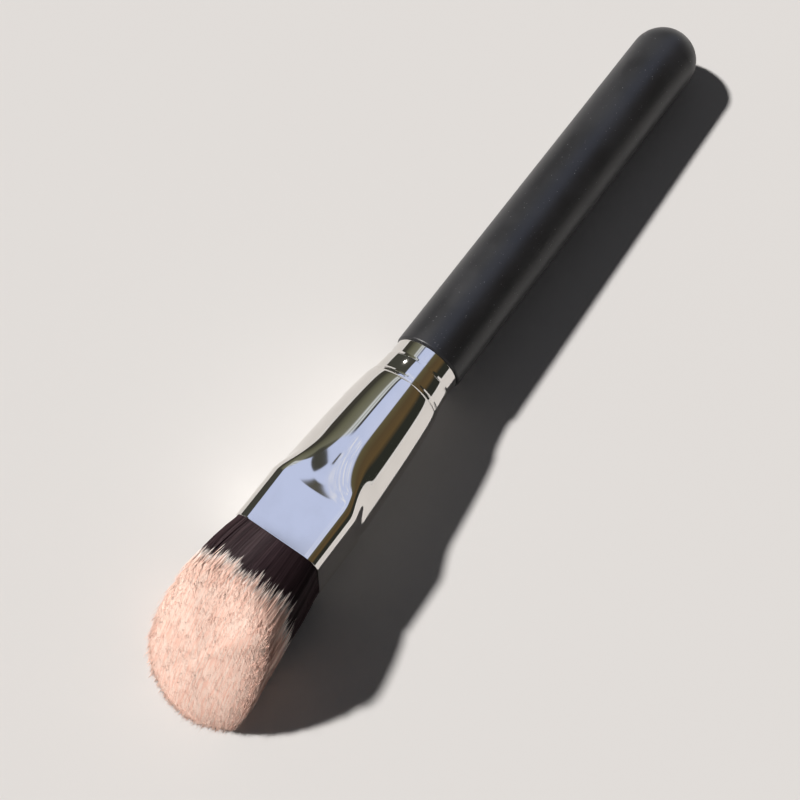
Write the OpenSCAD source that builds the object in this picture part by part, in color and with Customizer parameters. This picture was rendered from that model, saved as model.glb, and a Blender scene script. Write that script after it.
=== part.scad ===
// Contour brush: a turned handle, a round-to-flat pressed ferrule and a slant-cut, two-tone fibre tuft.
// The brush lies on its butt end and on the long fibres of its tuft, as it comes to rest on a table.
// The axis runs along +X from the butt to the tuft. The origin is below the middle, on the table.

/* [Handle] */
// Diameter of the handle
handle_d = 14.6; // [12:0.1:18]
// Visible length of the handle, from its domed end to the ferrule
handle_len = 96; // [70:1:130]
// Length of the tenon inside the ferrule
tenon_len = 16; // [11:0.5:18]
// Rounding of the shoulder against the ferrule
shoulder_round = 0.5; // [0.2:0.1:1]

/* [Ferrule] */
// Length of the ferrule
ferrule_len = 48.4; // [42:0.1:56]
// Wall thickness of the drawn tube
wall = 0.4; // [0.25:0.05:0.6]
// Outer diameter at the handle
rim_d = 13.9; // [13:0.1:14]
// Distance of the first crimp lip from the handle
lip_1_at = 3.8; // [3:0.1:4.5]
// Distance of the second crimp lip from the handle
lip_2_at = 7.9; // [7:0.1:9]
// Outer diameter of the first crimp lip
lip_1_d = 14.35; // [14.2:0.05:14.6]
// Outer diameter of the second crimp lip
lip_2_d = 15.5; // [15:0.1:16]
// Depth of the crimped notch behind each lip
crimp_depth = 0.45; // [0.3:0.05:0.55]
// Diameter that the flared tube would have at its mouth if it were left round
flare_d = 21.5; // [20:0.1:23]
// Exponent of the flare, below 1 for a bell that opens early
flare_power = 0.75; // [0.6:0.05:1]
// Distance from the handle where the pressed flats begin
press_from = 24; // [21:0.5:27]
// Distance from the handle where the pressed flats are full
press_to = 35.5; // [32:0.5:38]
// Width of the pressed mouth
mouth_w = 18.6; // [16:0.1:21]
// Depth of the pressed mouth
mouth_t = 17.8; // [15:0.1:20]
// Corner radius of the pressed mouth
mouth_round = 3; // [2:0.1:4.5]

/* [Tuft] */
// Length of the fibres in the middle of the mouth
tuft_len = 24; // [20:0.5:30]
// How much shorter the top fibres are than the middle ones, and how much longer the bottom ones
slant = 11; // [6:0.5:13]
// Extra length of the fibres on the right side over those on the left
skew = 1.2; // [0:0.1:3]
// How far the trimmed face bulges in its middle
crown = 1.8; // [0:0.1:3]
// Rounding of the edge of the trimmed face
edge_drop = 1.6; // [0.5:0.1:3]
// Sideways spread of the fibres at full length, as a share of the mouth
spread_w = 0.58; // [0.1:0.01:0.7]
// Upward and downward spread of the fibres at full length, as a share of the mouth
spread_t = 0.8; // [0.2:0.01:0.9]
// Depth below the axis of the long fibres that the brush rests on
rest_depth = 12.9; // [12:0.1:15]
// Height of the ridges between the locks of fibre
lock_relief = 0.28; // [0:0.02:0.5]
// Number of locks around the tuft
locks = 24; // [12:1:32]
// Depth of the fibre roots inside the mouth
root_depth = 11; // [8:0.5:12]

/* [Joints between the pieces] */
// Clearance between the tenon and the ferrule
tenon_gap = 0.05; // [0.02:0.01:0.1]
// Clearance between the glue and the ferrule
glue_gap = 0.08; // [0.06:0.01:0.15]
// Clearance between the fibres and the ferrule
fibre_gap = 0.3; // [0.25:0.01:0.4]
// Thickness of the glue plug behind the fibre roots
glue_len = 8; // [5:0.5:9]

/* [Hidden] */

handle_r = handle_d / 2;
rim_r = rim_d / 2;
lip_1_r = lip_1_d / 2;
lip_2_r = lip_2_d / 2;
tenon_r = rim_r - wall - tenon_gap;
half_w = mouth_w / 2;
half_t = mouth_t / 2;
mouth_at = handle_len + ferrule_len;

// Rolled edge at the handle, the slopes on both sides of a crimp, and the step down behind the second lip
rim_round = 0.2;
lip_run = 0.6;
notch_run = 0.25;
notch_out = 0.9;
lip_2_step = 0.1;

// The collar widens a little before the first crimp, and starts again just above the rim behind it. Between
// the crimps it swells towards the second lip, given as [share of the way, share of the rise].
collar_cone = 0.05;
notch_rise = 0.02;
swell = [[0.5, 0.15], [0.75, 0.45]];

// Tenon: lead-in chamfer, the flat at the bottom of its groove, and how far the shapes run into each other
tenon_lead = 0.8;
groove_flat = 0.2;
overlap = 1;

// How far the tuft's square section has rounded off, and the distance over which the fibres fluff out
fluff_share = 0.65;
fluff_run = 22;

// The spread begins at once and is nearly full at the tips, which also hang a little
spread_start = 0.12;
spread_end = 0.87;
tip_droop = 0.9;

// The ridges fade in beyond the mouth, and are lower than the fibres around them are high
ridge_run = 6;
ridge_bias = 0.3;

// Height of all the fibres that lie packed under the middle one
packed_height = 3;

// Unevenness of the cut: heights of the two waves, and how far each turns from one point or ring to the next
uneven_coarse = 0.45;
uneven_fine = 0.35;
coarse_turn = 137.5;
ring_turn = 53;
fine_turn = 71.3;

// Share of the side that the first rings take, above 1 for closer rings at the mouth
ring_bunching = 1.2;

// Facets
around = 64;
points_per_lock = 4;
around_tuft = points_per_lock * locks;
turned_fn = 96;
rounding_fn = 32;
loft_steps = 20;
glue_steps = 7;
side_steps = 11;
face_steps = 8;

// Slope of the axis when the butt and the long fibres touch the table
rest_x = mouth_at + tuft_len + slant / 2 - handle_r;
rest_angle = atan2(rest_depth, rest_x) - asin(handle_r / norm([rest_x, rest_depth]));

function mix(a, b, t) = a + (b - a) * t;
function clamp01(t) = min(1, max(0, t));
function smooth(t) = let (u = clamp01(t)) u * u * (3 - 2 * u);

// Directions around the section, bunched by a few degrees at the four corners of the mouth
corner_bunching = 7;
function direction(i, n) = let (u = 360 * i / n) u + corner_bunching * sin(4 * u);

// Distance from the axis to a rounded rectangle with half sizes w and t, along one direction
function box_reach(w, t, corner, ang) =
    let (dy = abs(cos(ang)), dz = abs(sin(ang)), cy = w - corner, cz = t - corner)
    let (along = cy * dy + cz * dz)
    w * dz <= cz * dy ? w / dy :
    t * dy <= cy * dz ? t / dz :
    along + sqrt(max(0, corner * corner - cy * cy - cz * cz + along * along));

// Radius of the flared tube before it is pressed
function flare_r(e) =
    let (start_r = lip_2_r - lip_2_step)
    let (share = clamp01((e - lip_2_at) / (ferrule_len - lip_2_at)))
    mix(start_r, flare_d / 2, pow(share, flare_power));

// Reach of the tube at a distance e from the handle, round at first and then pressed
function tube_reach(e, ang, inset) =
    mix(flare_r(e) - inset,
        box_reach(half_w - inset, half_t - inset, mouth_round - inset, ang),
        smooth((e - press_from) / (press_to - press_from)));

// Turned and crimped collar as [distance from the handle, outer radius]
collar = [
    [0, rim_r - rim_round],
    [rim_round, rim_r],
    [lip_1_at - lip_run, rim_r + collar_cone],
    [lip_1_at, lip_1_r],
    [lip_1_at + notch_run, lip_1_r - crimp_depth],
    [lip_1_at + notch_out, rim_r + notch_rise],
    for (s = swell) [mix(lip_1_at, lip_2_at, s[0]), mix(rim_r, lip_2_r, s[1])],
    [lip_2_at, lip_2_r],
    [lip_2_at + notch_run, lip_2_r - crimp_depth]
];
loft_from = lip_2_at + notch_out;
loft_at = [for (i = [0:loft_steps]) mix(loft_from, ferrule_len, i / loft_steps)];

// The collar's inner face skips the rolled rim and follows the notches one wall deeper
function collar_ring(p, inset, n) =
    [for (i = [0:n - 1]) let (a = direction(i, n), r = p[1] - inset) [p[0], r * cos(a), r * sin(a)]];
function loft_ring(e, inset, n) =
    [for (i = [0:n - 1]) let (a = direction(i, n), r = tube_reach(e, a, inset)) [e, r * cos(a), r * sin(a)]];

function reversed(list) = [for (i = [len(list) - 1:-1:0]) list[i]];

// Triangles between consecutive rings of n points, clockwise as seen from outside
function band_faces(rings, n) = [
    for (k = [0:rings - 2], i = [0:n - 1])
        let (j = (i + 1) % n, a = k * n + i, b = k * n + j, c = (k + 1) * n + j, d = (k + 1) * n + i)
        each [[a, c, b], [a, d, c]]
];
function closing_faces(rings, n) = [
    for (i = [0:n - 1])
        let (j = (i + 1) % n, last = (rings - 1) * n)
        each [[last + i, j, last + j], [last + i, i, j]]
];

// Closed skin through rings that come back to the first one, as for a tube with a wall
module ring_skin(rings, n) {
    points = [for (ring = rings) each ring];
    faces = concat(band_faces(len(rings), n), closing_faces(len(rings), n));
    polyhedron(points = points, faces = faces, convexity = 8);
}

// Closed skin through rings with a centre point at both ends
module capped_skin(rings, first, last, n) {
    count = len(rings) * n;
    points = concat([for (ring = rings) each ring], [first, last]);
    start_cap = [for (i = [0:n - 1]) [count, i, (i + 1) % n]];
    end_cap = [for (i = [0:n - 1]) [count + 1, count - n + (i + 1) % n, count - n + i]];
    faces = concat(band_faces(len(rings), n), start_cap, end_cap);
    polyhedron(points = points, faces = faces, convexity = 8);
}

// Locks of fibre: a saw of ridges around the tuft and uneven tips, both from sines of the direction
function ridge(i, x) = lock_relief * (cos(360 * i / points_per_lock) - ridge_bias) * smooth(x / ridge_run);
function unevenness(i, k) =
    uneven_coarse * sin(coarse_turn * i + ring_turn * k) + uneven_fine * sin(fine_turn * i);

// A fibre's root lies at a share of the mouth's reach. Its length follows the slanted cut.
function fibre_len(share, ang, i, k) =
    let (up = share * sin(ang), side = share * cos(ang))
    tuft_len - slant * up + skew * side + crown * (1 - share * share)
    - edge_drop * pow(share, 6) + share * share * unevenness(i, k);
function opened(x) =
    smooth(mix(spread_start, spread_end, x / (tuft_len + slant))) - smooth(spread_start);

// Point on a fibre at a distance x from the mouth, in the frame of the brush
function fibre_point(share, ang, i, x) =
    let (square = tube_reach(ferrule_len + min(x, 0), ang, wall + fibre_gap))
    let (root = mix(square, (half_w + half_t) / 2, fluff_share * smooth(x / fluff_run)))
    let (reach = share * (root + (x > 0 ? ridge(i, x) : 0)), open = x > 0 ? opened(x) : 0)
    let (droop = x > 0 ? tip_droop * x / (tuft_len + slant) : 0)
    let (y = reach * cos(ang) * (1 + spread_w * open), z = reach * sin(ang) * (1 + spread_t * open))
    [mouth_at + x, y, z - droop];

// From the frame of the brush to the table, pivoting about the middle of the butt's dome
function on_table(p) =
    let (x = p[0] - handle_r, s = sin(rest_angle), c = cos(rest_angle))
    [x * c - p[2] * s, p[1], x * s + p[2] * c + handle_r];

// Outer fibres are pressed flat on the table, and the ones within lie on them
function pressed(p, share) = let (q = on_table(p)) [q[0], q[1], max(packed_height * (1 - share), q[2])];

// The side of the tuft from its roots to the cut, then the cut face in shrinking rings
function side_ring(k) = [
    for (i = [0:around_tuft - 1])
        let (a = direction(i, around_tuft), x = fibre_len(1, a, i, 0) * pow(k / side_steps, ring_bunching))
        pressed(fibre_point(1, a, i, x), 1)
];
function face_ring(k) = [
    for (i = [0:around_tuft - 1])
        let (a = direction(i, around_tuft), share = 1 - k / (face_steps + 1))
        pressed(fibre_point(share, a, i, fibre_len(share, a, i, k)), share)
];
root_ring = [
    for (i = [0:around_tuft - 1])
        pressed(fibre_point(1, direction(i, around_tuft), i, -root_depth), 1)
];
side_rings = [for (k = [0:side_steps]) side_ring(k)];
face_rings = [for (k = [1:face_steps]) face_ring(k)];
tuft_rings = concat([root_ring], side_rings, face_rings);
tuft_root = on_table([mouth_at - root_depth, 0, 0]);
tuft_tip = on_table(fibre_point(0, 0, 0, fibre_len(0, 0, 0, 0)));

// The origin lies under the middle of the whole brush
tuft_points = [for (ring = tuft_rings) each ring];
middle_x = (max([for (p = tuft_points) p[0]]) - handle_r) / 2;
middle_y = (max([for (p = tuft_points) p[1]]) + min([for (p = tuft_points) p[1]])) / 2;

module lay_down() {
    translate([-middle_x, -middle_y, handle_r])
        rotate([0, -rest_angle, 0])
            translate([-handle_r, 0, 0])
                children();
}

module handle_profile() {
    intersection() {
        translate([0, handle_r])
            circle(r = handle_r, $fn = turned_fn);
        square([handle_r, handle_r]);
    }
    translate([0, handle_r])
        square([handle_r, handle_len - shoulder_round - handle_r]);
    square_end = handle_r - shoulder_round;
    translate([0, handle_len - 2 * shoulder_round])
        square([square_end, 2 * shoulder_round]);
    translate([square_end, handle_len - shoulder_round])
        circle(r = shoulder_round, $fn = rounding_fn);
    tenon_profile();
}

// The tenon has a lead-in chamfer, and a groove where the first crimp grips it
module tenon_profile() {
    groove = handle_len + lip_1_at + notch_run;
    groove_depth = crimp_depth - (lip_1_r - rim_r) + tenon_gap;
    difference() {
        translate([0, handle_len])
            polygon([[0, -overlap], [tenon_r, -overlap], [tenon_r, tenon_len - tenon_lead],
                     [tenon_r - tenon_lead, tenon_len], [0, tenon_len]]);
        polygon([[tenon_r + overlap, groove - notch_out], [tenon_r, groove - notch_out],
                 [tenon_r - groove_depth, groove - groove_flat / 2],
                 [tenon_r - groove_depth, groove + groove_flat / 2],
                 [tenon_r, groove + notch_out], [tenon_r + overlap, groove + notch_out]]);
    }
}

module handle() {
    color([0.07, 0.07, 0.075])
        lay_down()
            rotate([0, 90, 0])
                rotate_extrude($fn = turned_fn)
                    handle_profile();
}

module ferrule() {
    outer = concat(
        [for (p = collar) collar_ring(p, 0, around)],
        [for (e = loft_at) loft_ring(e, 0, around)]
    );
    inner = concat(
        [collar_ring([0, rim_r], wall, around)],
        [for (k = [2:len(collar) - 1]) collar_ring(collar[k], wall, around)],
        [for (e = loft_at) loft_ring(e, wall, around)]
    );
    color([0.83, 0.84, 0.86])
        lay_down()
            translate([handle_len, 0, 0])
                ring_skin(concat(outer, reversed(inner)), around);
}

module glue_plug() {
    front = ferrule_len - root_depth;
    back = front - glue_len;
    rings = [for (k = [0:glue_steps]) loft_ring(mix(back, front, k / glue_steps), wall + glue_gap, around)];
    color([0.85, 0.78, 0.6])
        lay_down()
            translate([handle_len, 0, 0])
                capped_skin(rings, [back, 0, 0], [front, 0, 0], around);
}

module bristles() {
    color([0.93, 0.8, 0.74])
        translate([-middle_x, -middle_y, 0])
            capped_skin(tuft_rings, tuft_root, tuft_tip, around_tuft);
}

handle();
ferrule();
glue_plug();
bristles();
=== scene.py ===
"""A contour brush that lies on its handle's butt and on the long fibres of its slant-cut tuft.

Sizes are in millimetres, in the frame of the brush: X runs from the butt to the tuft along the axis, Y is
the right side and Z is up. RestingPose turns them into the shared frame, in metres.
"""

import logging
import math
from dataclasses import dataclass
from enum import Enum

import bpy
import numpy as np
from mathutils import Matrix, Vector

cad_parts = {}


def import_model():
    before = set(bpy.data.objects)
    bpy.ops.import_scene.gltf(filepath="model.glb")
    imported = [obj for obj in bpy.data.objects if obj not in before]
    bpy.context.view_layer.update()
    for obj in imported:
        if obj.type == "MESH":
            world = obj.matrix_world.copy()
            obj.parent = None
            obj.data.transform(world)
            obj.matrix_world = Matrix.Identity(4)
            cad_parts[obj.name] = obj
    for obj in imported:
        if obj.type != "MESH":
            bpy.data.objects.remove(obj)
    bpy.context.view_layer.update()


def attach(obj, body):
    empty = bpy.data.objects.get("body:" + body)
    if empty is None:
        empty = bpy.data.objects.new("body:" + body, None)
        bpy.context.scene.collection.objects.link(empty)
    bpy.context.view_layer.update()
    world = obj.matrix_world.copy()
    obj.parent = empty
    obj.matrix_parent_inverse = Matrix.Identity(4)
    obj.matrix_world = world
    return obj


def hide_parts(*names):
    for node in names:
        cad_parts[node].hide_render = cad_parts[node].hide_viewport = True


log = logging.getLogger("contour_brush")

MM = 0.001
UV_MAP = "OFBake"
DYE = "dye_share"

# Share of a fibre's map at which its dye ends
DYE_ENDS = 0.4

Colour = tuple[float, float, float]
Point = tuple[float, float, float]
Number = float | np.ndarray
Value = float | tuple | bpy.types.NodeSocket


class Slot(Enum):
    """Material slots of the record, by name. No piece here takes its finish from them."""

    LACQUER = "handle_lacquer"
    PLATE = "ferrule_plate"
    GLUE = "glue"
    FIBRE = "fibre"


def mix(a: Number, b: Number, t: Number) -> Number:
    """Returns the blend of a and b at the share t."""
    return a + (b - a) * t


def smooth(t: np.ndarray) -> np.ndarray:
    """Returns an S-curve that runs from 0 to 1 while t does."""
    u = np.clip(t, 0.0, 1.0)
    return u * u * (3 - 2 * u)


@dataclass(frozen=True)
class RestingPose:
    """Where the brush lies: its axis rises a little from the butt towards the mouth of the ferrule."""

    butt_r: float = 7.3
    slope_deg: float = 1.9238
    middle_x: float = 89.296
    middle_y: float = 0.203

    def on_table(self, points: np.ndarray) -> np.ndarray:
        """Turns points about the middle of the butt's dome, down onto the table.

        Args:
            points: Points in the frame of the brush, in mm.

        Returns:
            The points above the table, in mm, before the origin is moved.
        """
        s, c = math.sin(math.radians(self.slope_deg)), math.cos(math.radians(self.slope_deg))
        x = points[..., 0] - self.butt_r
        z = points[..., 2]
        return np.stack([x * c - z * s, points[..., 1], x * s + z * c + self.butt_r], -1)

    def to_frame(self, laid: np.ndarray) -> np.ndarray:
        """Moves laid points to the shared frame's origin and turns them to metres."""
        return (laid - np.array([self.middle_x - self.butt_r, self.middle_y, 0.0])) * MM

    def place(self, points: np.ndarray) -> np.ndarray:
        """Returns points of the brush in the shared frame, in metres."""
        return self.to_frame(self.on_table(points))


def add_piece(
    name: str,
    points: np.ndarray,
    faces: list[np.ndarray],
    material: bpy.types.Material,
    uv: list[np.ndarray] | None = None,
    normals: np.ndarray | None = None,
) -> bpy.types.Object:
    """Makes one smooth-shaded mesh piece that rides on the brush.

    Args:
        name: Name of the piece.
        points: Vertices in the shared frame, in metres.
        faces: Arrays of vertex numbers, one row per face, each array with its own number of corners.
        material: Finish of the whole piece.
        uv: For each array of faces, the place of each corner on the piece's map, or None for no map.
        normals: Directions that the vertices are shaded by, or None for the mesh's own.

    Returns:
        The new object.
    """
    mesh = bpy.data.meshes.new(name)
    corners = np.concatenate([f.ravel() for f in faces]).astype(np.int32)
    counts = np.concatenate([np.full(len(f), f.shape[1]) for f in faces]).astype(np.int32)
    mesh.vertices.add(len(points))
    mesh.vertices.foreach_set("co", points.astype(np.float32).ravel())
    mesh.loops.add(len(corners))
    mesh.loops.foreach_set("vertex_index", corners)
    mesh.polygons.add(len(counts))
    mesh.polygons.foreach_set("loop_start", (np.cumsum(counts) - counts).astype(np.int32))
    mesh.polygons.foreach_set("use_smooth", np.ones(len(counts), dtype=bool))
    mesh.update(calc_edges=True)
    if uv is not None:
        layer = mesh.uv_layers.new(name=UV_MAP)
        places = np.concatenate([u.reshape(-1, 2) for u in uv])
        layer.data.foreach_set("uv", places.astype(np.float32).ravel())
    if normals is not None:
        mesh.normals_split_custom_set_from_vertices(normals.tolist())
    mesh.materials.append(material)
    piece = bpy.data.objects.new(name, mesh)
    bpy.context.collection.objects.link(piece)
    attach(piece, "root")
    return piece


def ring_faces(rings: int, around: int, closed: bool = False) -> np.ndarray:
    """Joins rings of points with quads that look outwards.

    Args:
        rings: Number of rings.
        around: Number of points in a ring.
        closed: True if the last ring joins the first one.

    Returns:
        Vertex numbers, four per face.
    """
    k = np.arange(rings if closed else rings - 1)[:, None]
    i = np.arange(around)[None, :]
    j, after = (i + 1) % around, (k + 1) % rings
    corners = [k * around + i, after * around + i, after * around + j, k * around + j]
    return np.stack(corners, -1).reshape(-1, 4)


def end_fans(count: int, around: int) -> list[np.ndarray]:
    """Closes both ends of a row of rings with fans about two middle points, which follow the rings' points.

    Args:
        count: Number of points in all the rings.
        around: Number of points in a ring.

    Returns:
        Vertex numbers of the first ring's fan and of the last one's, three per face.
    """
    i = np.arange(around)
    j = (i + 1) % around
    start = np.stack([np.full(around, count), i, j], 1)
    end = np.stack([np.full(around, count + 1), count - around + j, count - around + i], 1)
    return [start, end]


# Materials


class Nodes:
    """A small hand for wiring one node tree."""

    def __init__(self, tree: bpy.types.NodeTree) -> None:
        """Keeps the tree that the nodes go into."""
        self.tree = tree

    def add(self, kind: str, inputs: dict | None = None, **settings) -> bpy.types.Node:
        """Adds a node, sets its properties, and sets or links its inputs.

        Args:
            kind: Blender's type name of the node.
            inputs: Values or output sockets by input name or number.
            **settings: Properties of the node.

        Returns:
            The new node.
        """
        node = self.tree.nodes.new(kind)
        for key, value in settings.items():
            setattr(node, key, value)
        for key, value in (inputs or {}).items():
            if isinstance(value, bpy.types.NodeSocket):
                self.tree.links.new(value, node.inputs[key])
            else:
                node.inputs[key].default_value = value
        return node

    def math(self, operation: str, *values: Value, clamp: bool = False) -> bpy.types.NodeSocket:
        """Adds a Math node and returns its result."""
        inputs = dict(enumerate(values))
        return self.add("ShaderNodeMath", inputs, operation=operation, use_clamp=clamp).outputs[0]

    def mix_colour(self, share: Value, a: Value, b: Value, blend: str = "MIX") -> bpy.types.NodeSocket:
        """Adds a colour Mix node and returns its result."""
        node = self.add("ShaderNodeMix", {0: share, 6: a, 7: b}, data_type="RGBA", blend_type=blend)
        return node.outputs[2]

    def ramp(self, value: Value, stops: list[tuple[float, Colour]]) -> bpy.types.NodeSocket:
        """Adds a Color Ramp with the given stops.

        Args:
            value: Where to read the ramp, from 0 to 1.
            stops: Place and colour of each stop, in order.

        Returns:
            The ramp's colour.
        """
        node = self.add("ShaderNodeValToRGB", {0: value})
        bar = node.color_ramp
        while len(bar.elements) < len(stops):
            bar.elements.new(1.0)
        for element, (at, colour) in zip(bar.elements, stops):
            element.position = at
            element.color = (*colour, 1.0)
        return node.outputs[0]

    def span(self, value: Value, low: Value, high: Value) -> bpy.types.NodeSocket:
        """Adds a smooth Map Range node that runs from 0 to 1 between two values and returns its result."""
        node = self.add("ShaderNodeMapRange", {0: value, 1: low, 2: high}, interpolation_type="SMOOTHSTEP")
        return node.outputs[0]


def new_group(
    name: str, ins: list[tuple[str, str, Value | None]], outs: list[tuple[str, str]]
) -> tuple[bpy.types.NodeTree, Nodes, bpy.types.Node, bpy.types.Node]:
    """Starts a shader node group with named inputs and outputs.

    Args:
        name: Name of the group.
        ins: Name, socket type and default value of each input.
        outs: Name and socket type of each output.

    Returns:
        The group's tree, a Nodes hand for it, its input node and its output node.
    """
    tree = bpy.data.node_groups.new(name, "ShaderNodeTree")
    for label, kind, value in ins:
        socket = tree.interface.new_socket(name=label, in_out="INPUT", socket_type=kind)
        if value is not None:
            socket.default_value = value
    for label, kind in outs:
        tree.interface.new_socket(name=label, in_out="OUTPUT", socket_type=kind)
    hand = Nodes(tree)
    return tree, hand, hand.add("NodeGroupInput"), hand.add("NodeGroupOutput")


FLOAT, COLOUR, VECTOR = "NodeSocketFloat", "NodeSocketColor", "NodeSocketVector"


class SharedEffects:
    """The effects that more than one finish uses, each built once as a node group."""

    def __init__(self) -> None:
        """Builds the groups."""
        self.dust = self.build_dust()
        self.handling = self.build_handling()
        self.strands = self.build_strands()

    @staticmethod
    def build_dust() -> bpy.types.NodeTree:
        """Fine bright specks that lie scattered, with a few larger ones.

        Returns:
            A group with a Mask output.
        """
        tree, hand, source, out = new_group(
            "dust_specks",
            [("Vector", VECTOR, None), ("Scale", FLOAT, 2500.0), ("Cover", FLOAT, 0.1)],
            [("Mask", FLOAT)],
        )
        where = source.outputs["Vector"]
        cells = hand.add("ShaderNodeTexVoronoi", {"Vector": where, "Scale": source.outputs["Scale"]})
        chosen = hand.add("ShaderNodeSeparateColor", {0: cells.outputs["Color"]})
        few = hand.math("LESS_THAN", chosen.outputs[0], source.outputs["Cover"])
        # A speck reaches a tenth to a third of its cell, and lights up by a fifth to the whole
        reach = hand.math("MULTIPLY_ADD", chosen.outputs[1], 0.22, 0.1)
        near = hand.math("SUBTRACT", 1.0, hand.math("DIVIDE", cells.outputs["Distance"], reach), clamp=True)
        lit = hand.math("MULTIPLY", near, hand.math("MULTIPLY_ADD", chosen.outputs[2], 0.8, 0.2))
        hand.tree.links.new(hand.math("MULTIPLY", lit, few), out.inputs["Mask"])
        return tree

    @staticmethod
    def build_handling() -> bpy.types.NodeTree:
        """Faint cloudy marks from handling, and a fine unevenness of the surface.

        Returns:
            A group with a Marks and a Height output.
        """
        tree, hand, source, out = new_group(
            "handling_marks",
            [("Vector", VECTOR, None), ("Cloud Scale", FLOAT, 60.0), ("Grain Scale", FLOAT, 3000.0)],
            [("Marks", FLOAT), ("Height", FLOAT)],
        )
        where = source.outputs["Vector"]
        cloud = hand.add(
            "ShaderNodeTexNoise", {"Vector": where, "Scale": source.outputs["Cloud Scale"], "Detail": 4.0}
        )
        grain = hand.add(
            "ShaderNodeTexNoise", {"Vector": where, "Scale": source.outputs["Grain Scale"], "Detail": 2.0}
        )
        hand.tree.links.new(hand.span(cloud.outputs[0], 0.35, 0.7), out.inputs["Marks"])
        hand.tree.links.new(grain.outputs[0], out.inputs["Height"])
        return tree

    @staticmethod
    def build_strands() -> bpy.types.NodeTree:
        """Two-tone dye with a painted sheen and shade, read from where a point lies along the fibres.

        Along starts at 0 in the mouth. The dye ends near Dye Ends, sooner or later by the fibre's dye step.
        A whitish stretch follows, which warms up to the colour of the tip.

        Returns:
            A group with a Color output.
        """
        tree, hand, source, out = new_group(
            "dye_with_painted_sheen_and_shade",
            [
                ("Along", FLOAT, 0.0),
                ("Dye Step", FLOAT, 0.5),
                ("Shade Step", FLOAT, 0.5),
                ("Dye Ends", FLOAT, 0.4),
                ("Dye Spread", FLOAT, 0.15),
                ("Softness", FLOAT, 0.025),
                ("Warming", FLOAT, 0.1),
                ("Root", COLOUR, (0.03, 0.02, 0.02, 1)),
                ("Root Sheen", COLOUR, (0.06, 0.04, 0.04, 1)),
                ("Change", COLOUR, (0.85, 0.8, 0.75, 1)),
                ("Tip", COLOUR, (0.9, 0.7, 0.6, 1)),
                ("Tip Shade", COLOUR, (0.8, 0.5, 0.4, 1)),
            ],
            [("Color", COLOUR)],
        )
        get = source.outputs
        off = hand.math("MULTIPLY", hand.math("SUBTRACT", get["Dye Step"], 0.5), get["Dye Spread"])
        edge = hand.math("ADD", get["Dye Ends"], off)
        low = hand.math("SUBTRACT", edge, get["Softness"])
        high = hand.math("ADD", edge, get["Softness"])
        pale = hand.span(get["Along"], low, high)
        warm = hand.span(get["Along"], edge, hand.math("ADD", edge, get["Warming"]))
        # Root Sheen is a painted sheen on the roots and Tip Shade a painted shade on the tips, set by the
        # Shade Step
        root = hand.mix_colour(get["Shade Step"], get["Root"], get["Root Sheen"])
        tip = hand.mix_colour(get["Shade Step"], get["Tip Shade"], get["Tip"])
        beyond = hand.mix_colour(warm, get["Change"], tip)
        hand.tree.links.new(hand.mix_colour(pale, root, beyond), out.inputs["Color"])
        return tree


def start_material(name: str) -> tuple[bpy.types.Material, Nodes, bpy.types.Node]:
    """Makes a material with one Principled shader.

    Args:
        name: Name of the material.

    Returns:
        The material, a Nodes hand for its tree and its Principled shader.
    """
    material = bpy.data.materials.new(name)
    material.use_nodes = True
    material.node_tree.nodes.clear()
    hand = Nodes(material.node_tree)
    shader = hand.add("ShaderNodeBsdfPrincipled")
    hand.add("ShaderNodeOutputMaterial", {0: shader.outputs[0]})
    return material, hand, shader


@dataclass(frozen=True)
class SoftTouchLacquer:
    """Matt black rubbery lacquer of the handle, with dust specks and faint handling marks."""

    colour: Colour = (0.0125, 0.0125, 0.0145)
    worn: Colour = (0.019, 0.019, 0.0215)
    dust: Colour = (0.34, 0.34, 0.36)
    roughness: float = 0.42
    sheen: float = 0.12
    speck_scale: float = 2600.0
    speck_cover: float = 0.15

    def build(self, effects: SharedEffects) -> bpy.types.Material:
        """Returns the material.

        Args:
            effects: The shared node groups.

        Returns:
            The finished material.
        """
        material, hand, shader = start_material("soft_touch_lacquer")
        where = hand.add("ShaderNodeTexCoord").outputs["Object"]
        specks = hand.add("ShaderNodeGroup", node_tree=effects.dust)
        marks = hand.add("ShaderNodeGroup", node_tree=effects.handling)
        for group in (specks, marks):
            hand.tree.links.new(where, group.inputs["Vector"])
        specks.inputs["Scale"].default_value = self.speck_scale
        specks.inputs["Cover"].default_value = self.speck_cover
        marks.inputs["Cloud Scale"].default_value = 90.0
        marks.inputs["Grain Scale"].default_value = 3500.0
        base = hand.mix_colour(marks.outputs["Marks"], (*self.colour, 1), (*self.worn, 1))
        base = hand.mix_colour(specks.outputs["Mask"], base, (*self.dust, 1))
        rough = hand.math("MULTIPLY_ADD", marks.outputs["Marks"], 0.08, self.roughness - 0.04)
        bump = hand.add(
            "ShaderNodeBump", {"Strength": 0.25, "Distance": 0.00003, "Height": marks.outputs["Height"]}
        )
        hand.tree.links.new(base, shader.inputs["Base Color"])
        hand.tree.links.new(rough, shader.inputs["Roughness"])
        hand.tree.links.new(bump.outputs[0], shader.inputs["Normal"])
        shader.inputs["Sheen Weight"].default_value = self.sheen
        shader.inputs["Sheen Roughness"].default_value = 0.4
        return material


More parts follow.
